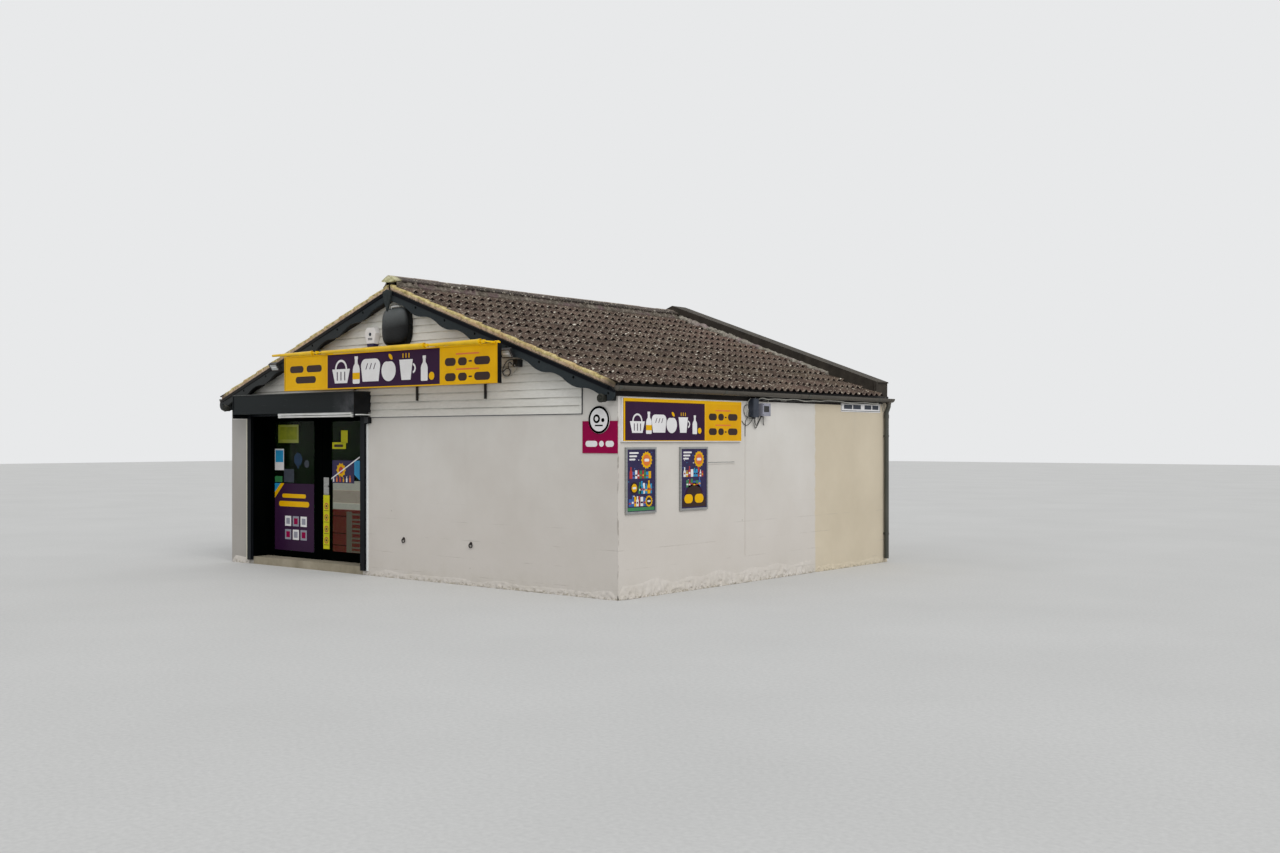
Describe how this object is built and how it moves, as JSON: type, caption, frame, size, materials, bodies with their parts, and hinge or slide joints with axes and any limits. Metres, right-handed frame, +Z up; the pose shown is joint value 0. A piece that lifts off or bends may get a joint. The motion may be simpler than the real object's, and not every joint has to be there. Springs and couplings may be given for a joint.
{
  "type": "corner shop building",
  "caption": "Low gabled corner shop with rendered walls, tiled roof, scalloped bargeboards, a glazed entrance under a roller shutter box, and blank signs.",
  "frame": {"origin": "centre of the footprint at ground level", "axes": "+X to the right along the street front, +Y to the back, +Z up"},
  "size_m": [8.02, 6.931, 4.1198],
  "materials": {
    "concrete": "worn concrete",
    "painted_render": "white masonry paint on render",
    "bitumen_sheet": "dull dark sheet",
    "black_timber": "black gloss paint, weathered",
    "roof_timber": "rafters and boarding under tiles",
    "mortar": "sand mortar with lichen",
    "roof_tile": "weathered concrete tile",
    "white_boards": "white painted weatherboard",
    "black_plastic": "black moulded plastic",
    "shutter_metal": "anthracite powder coat",
    "black_frame": "black powder coat",
    "shop_glass": "clear",
    "handle_steel": "brushed",
    "white_plastic": "white plastic",
    "sign_yellow": "printed sign face",
    "black_steel": "black paint",
    "trough_yellow": "yellow powder coat",
    "lamp_silver": "cast",
    "plate_pink": "painted plate",
    "disc_white": "painted plate",
    "sign_purple": "printed sign face",
    "frame_silver": "satin",
    "grey_plastic": "moulded",
    "nameplate_white": "white enamel"
  },
  "bodies": {
    "building": {"floor_slab": "concrete", "left_pier": "painted_render", "front_panel": "painted_render", "gable_wall": "painted_render", "right_wall": "painted_render", "left_wall": "painted_render", "back_wall": "painted_render", "back_flashing": "bitumen_sheet", "wall_plates": "black_timber", "roof_right": "roof_timber", "roof_left": "roof_timber", "verge_mortar": "mortar", "ridge_tiles": "roof_tile", "bargeboard_right": "black_timber", "bargeboard_left": "black_timber", "gable_finial": "black_timber", "gable_cladding": "white_boards", "fascia_boards": "black_timber", "gutter_right": "black_plastic", "gutter_left": "black_plastic", "downpipes": "black_plastic", "shutter_box": "shutter_metal", "shutter_guides": "shutter_metal", "shutter_bottom_rail": "shutter_metal", "reveal_lining": "black_frame", "screen_frame": "black_frame", "side_light_frame": "black_frame", "side_light_glass": "shop_glass", "tube_light": "white_plastic", "main_sign": "sign_yellow", "sign_brackets": "black_steel", "trough_light": "trough_yellow", "gable_housing": "black_plastic", "alarm_box": "white_plastic", "floodlights": "lamp_silver", "wall_rings": "black_steel", "square_plate": "plate_pink", "round_disc": "disc_white", "wall_sign": "sign_purple", "poster_frames": "frame_silver", "wall_boxes": "grey_plastic", "street_nameplate": "nameplate_white"},
    "door": {"door_leaf": "black_frame", "door_glass": "shop_glass", "door_handle": "handle_steel"}
  },
  "joints": [
    {"name": "door_swing", "type": "hinge", "parent": "building", "child": "door", "pos_m": [-0.779, -2.829, 1.15], "axis": [0, 0, -1], "range_deg": [0, 90]}
  ]
}
